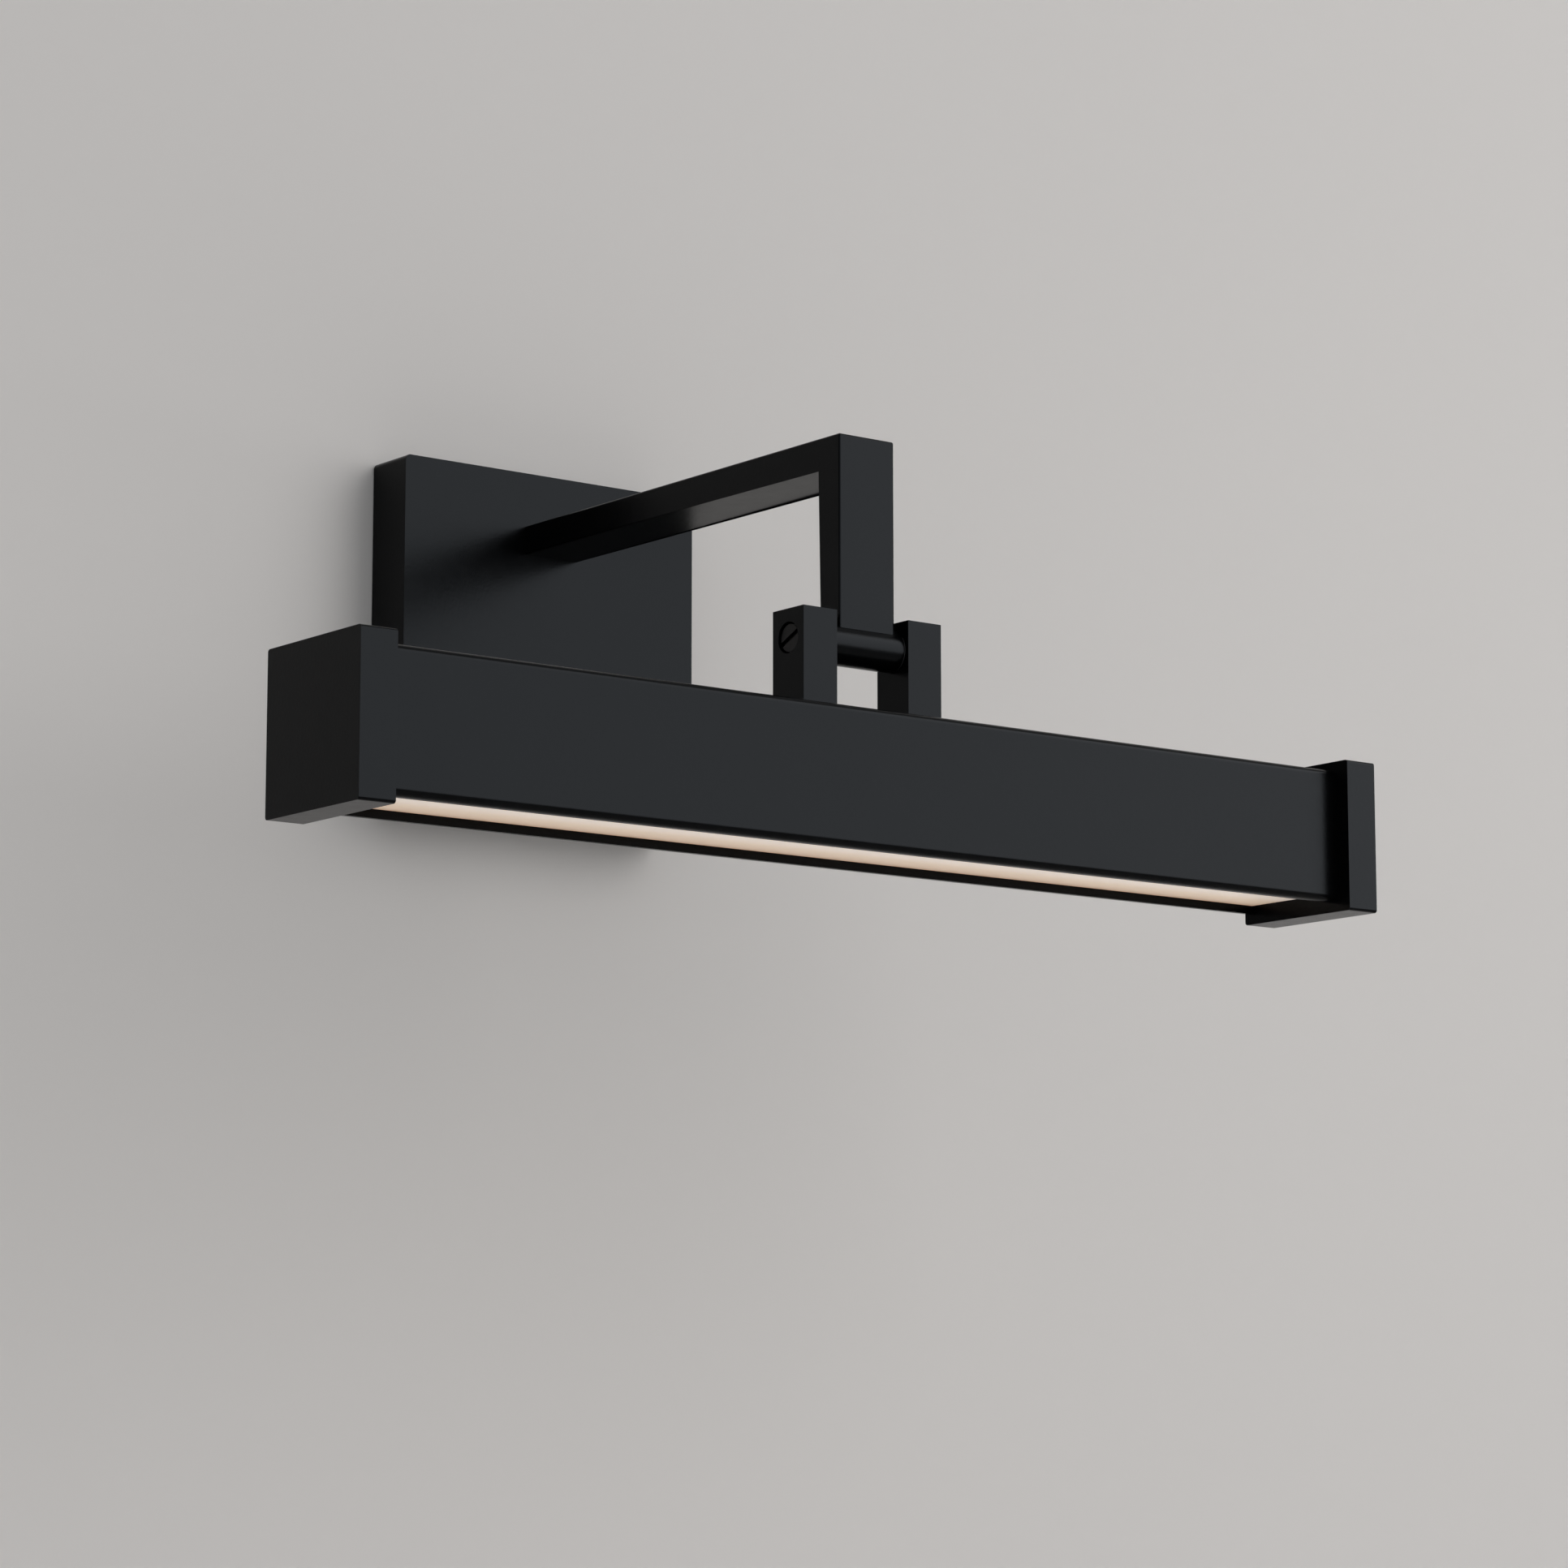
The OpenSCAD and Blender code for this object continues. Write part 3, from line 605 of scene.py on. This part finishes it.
arm_screws()
twist_connectors()
driver_details()
lead("arm_lead_sheath", "arm_lead", ROOT, LEAD_D, [
    (-28, -11, 38), (-28, -11, 40.5), (-27.6, -10.6, 43.5), (-25, -9.6, 47.5), (-19, -8.6, 49.5),
    (-12, -8, 48), (-6, -8, 44), (-2, -8.6, 39.5), (0, -11, 36.9), (0, -15, 36.4),
    (0, -20, 36.4), (0, -60, 36.4), (0, -110, 36.6), (0, -160, 37.4), (0, -181.5, 37.6),
    (0, -186, 36.6), (0, -189.2, 34), (0, -190.4, 30), (0, -190.2, 10), (0, -189.5, -5),
    (0, -189.5, -20.4), (0.4, -189.5, -22.4), (1.5, -189.5, -24.1), (3.3, -189.5, -25.1),
    (5.6, -189.5, -25.4),
])
lead("head_lead_sheath", "head_lead", HEAD, LEAD_D, [
    (6.2, -189.5, -25.4), (16.3, -189.5, -25.4), (18.2, -189.5, -25.8),
    (19.8, -189.5, -26.9), (20.9, -189.5, -28.5), (21.3, -189.5, -30.4),
    (21.3, -189.5, -56), (20.4, -189.5, -59.4), (17.8, -189.5, -61.6),
    (14, -189.4, -62.2), (0, -188.2, -62.2), (-10, -187.3, -62.6), (-17, -187.2, -65),
    (-21.5, -187.2, -66.4), (-24.5, -187.2, -66.4),
])
lead("line_lead_sheath", "line_lead", ROOT, WIRE_D, [
    (-38, -11, -46), (-38, -11, -49), (-34, -10.4, -50.5), (-20, -9.6, -50.5),
    (0, -9, -50.5), (22, -9, -50.5), (30, -9, -49.5), (33, -9, -46), (33, -9, -40),
])
lead("neutral_lead_sheath", "neutral_lead", ROOT, WIRE_D, [
    (-32, -6.6, -46), (-32, -6.6, -48), (-30.5, -6.4, -49.3), (-26, -6, -50), (-10, -6, -50),
    (10, -6, -50), (34, -6.4, -50.4), (42, -7.4, -49.4), (45, -9, -45), (45, -9, -40),
])
lead("ground_lead_sheath", "ground_lead", ROOT, WIRE_D, [
    (4, -5, 20), (8, -6, 18), (12, -8, 10), (13, -10, -6), (13, -11, -24),
    (13.4, -10.6, -38), (15.4, -9.6, -44), (18.4, -9, -45.8), (21, -9, -43.5), (21, -9, -40),
])


# ---- Inside the light bar ----

def led_packages():
    """The diodes: a white moulded body round a sunken square of phosphor."""
    low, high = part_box("led_chips")
    count = 30
    size = Vector((3.5, 2.8, 1.0)) * MM
    rim, slope, sunk_by = 0.45 * MM, 0.1 * MM, 0.2 * MM
    near = 0.1 * MM
    pitch = (high.x - low.x - size.x) / (count - 1)
    bm = bmesh.new()
    for i in range(count):
        corner = Vector((low.x + i * pitch, low.y, low.z))
        faces = block(bm, corner, corner + size)
        window = [face for face in faces if face.calc_center_median().z < low.z + near]
        bmesh.ops.inset_region(bm, faces=window, thickness=rim)
        sunk = bmesh.ops.inset_region(bm, faces=window, thickness=slope, depth=-sunk_by)
        for face in [*window, *sunk["faces"]]:
            face.material_index = 1
    piece = piece_from("led_packages", bm, HEAD, "led", "board", "led")
    soften(piece, 0.08, steps=2)
    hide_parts("led_chips")


def board_plug():
    """The plug on the board's connector: a latch and a rib over each of its two wires."""
    low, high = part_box("board_connector")
    middle = (low.y + high.y) / 2
    latch, wire_y, rib, rib_in = 1.2 * MM, 2.2 * MM, 0.5 * MM, 2 * MM
    bm = bmesh.new()
    block(bm, Vector((high.x - 1.0 * MM, middle - latch, high.z - 0.2 * MM)),
          Vector((high.x + latch, middle + latch, high.z + 0.5 * MM)))
    for y in (middle - wire_y, middle + wire_y):
        block(bm, Vector((low.x + rib_in, y - rib, high.z - 0.1 * MM)),
              Vector((high.x - rib_in, y + rib, high.z + 0.4 * MM)))
    piece = piece_from("board_plug", bm, HEAD, "board")
    soften(piece, 0.1, steps=2)


led_packages()
board_plug()


# ---- Wall, floor, lights and camera ----

def stage_material(name, low, high, one_sided=False):
    """Pale matte paint; a one-sided one is clear from behind."""
    f = Finish(name, high, 0.9, specular=0.2)
    f.tint(f.noise(1.3, 2), low, high)
    f.relief((f.noise(500, 3), 0.02))
    if one_sided:
        facing = f.add("ShaderNodeNewGeometry").outputs["Backfacing"]
        clear = f.nodes.new("ShaderNodeBsdfTransparent")
        mix = f.nodes.new("ShaderNodeMixShader")
        f.links.new(facing, mix.inputs["Fac"])
        f.links.new(f.shader.outputs["BSDF"], mix.inputs[1])
        f.links.new(clear.outputs["BSDF"], mix.inputs[2])
        f.links.new(mix.outputs["Shader"], f.nodes["Material Output"].inputs["Surface"])
    return f.material


def sheet_of_stage(name, corners, material):
    """A flat stage surface through four corners."""
    mesh = bpy.data.meshes.new(name)
    mesh.from_pydata(corners, [], [range(len(corners))])
    surface = bpy.data.objects.new(name, mesh)
    bpy.context.collection.objects.link(surface)
    mesh.materials.append(material)
    return surface


def soft_light(name, place, size, power, colour):
    """A square area light at a place, aimed at the object's middle."""
    light = bpy.data.lights.new(name, "AREA")
    light.size = size
    light.energy = power
    light.color = colour
    lamp = bpy.data.objects.new(name, light)
    bpy.context.collection.objects.link(lamp)
    lamp.location = place
    aim = (CAD_BOX[0] + CAD_BOX[1]) / 2 - Vector(place)
    lamp.rotation_euler = aim.to_track_quat("-Z", "Y").to_euler()
    lamp.visible_camera = False
    return lamp


WALL_Y = 0.5 * MM
FLOOR_Z = -1.5
REACH = 9.0  # how far the wall and the floor go on

wall = sheet_of_stage("wall", [
    (-REACH, WALL_Y, FLOOR_Z), (REACH, WALL_Y, FLOOR_Z),
    (REACH, WALL_Y, REACH), (-REACH, WALL_Y, REACH),
], stage_material("wall_paint", (0.815, 0.80, 0.78), (0.84, 0.825, 0.805), one_sided=True))
wall.visible_shadow = False
sheet_of_stage("floor", [
    (-REACH, -REACH, FLOOR_Z), (REACH, -REACH, FLOOR_Z),
    (REACH, REACH, FLOOR_Z), (-REACH, REACH, FLOOR_Z),
], stage_material("floor_paint", (0.66, 0.65, 0.64), (0.70, 0.69, 0.68)))

soft_light("key", (1.85, -2.4, 0.95), 3.2, 40, (1.0, 0.965, 0.94))
# large dim panels that only show as reflections, so that the black faces don't vanish
for name, place, size, power in (
    ("sheen_right", (1.7, -2.2, 0.85), 2.5, 47),
    ("sheen_left", (-1.7, -2.2, -0.5), 2.2, 24),
    ("sheen_front", (0.0, -2.7, 0.3), 1.5, 18),
    ("sheen_side", (2.8, -0.9, 0.4), 1.4, 14),
):
    soft_light(name, place, size, power, (0.87, 0.92, 1.0)).visible_diffuse = False
soft_light("rear_fill", (0.3, 1.5, 1.6), 1.2, 14, (1.0, 1.0, 1.0))

world = bpy.data.worlds.new("room")
world.use_nodes = True
room_light = world.node_tree.nodes["Background"]
room_light.inputs["Color"].default_value = (0.72, 0.73, 0.75, 1.0)
room_light.inputs["Strength"].default_value = 0.54
bpy.context.scene.world = world
bpy.context.scene.view_settings.view_transform = "Standard"


def camera():
    """A long lens to the left of the light and a little below it, looking up."""
    up, turn = 9.14, -37.46  # degrees above level, and round from straight at the wall
    data = bpy.data.cameras.new("camera")
    data.lens = 108.6
    data.sensor_width = 36.0
    eye = bpy.data.objects.new("camera", data)
    bpy.context.collection.objects.link(eye)
    eye.location = (-0.9067, -1.3349, -0.3038)
    eye.rotation_euler = (math.radians(90 + up), 0.0, math.radians(turn))
    bpy.context.scene.camera = eye


camera()
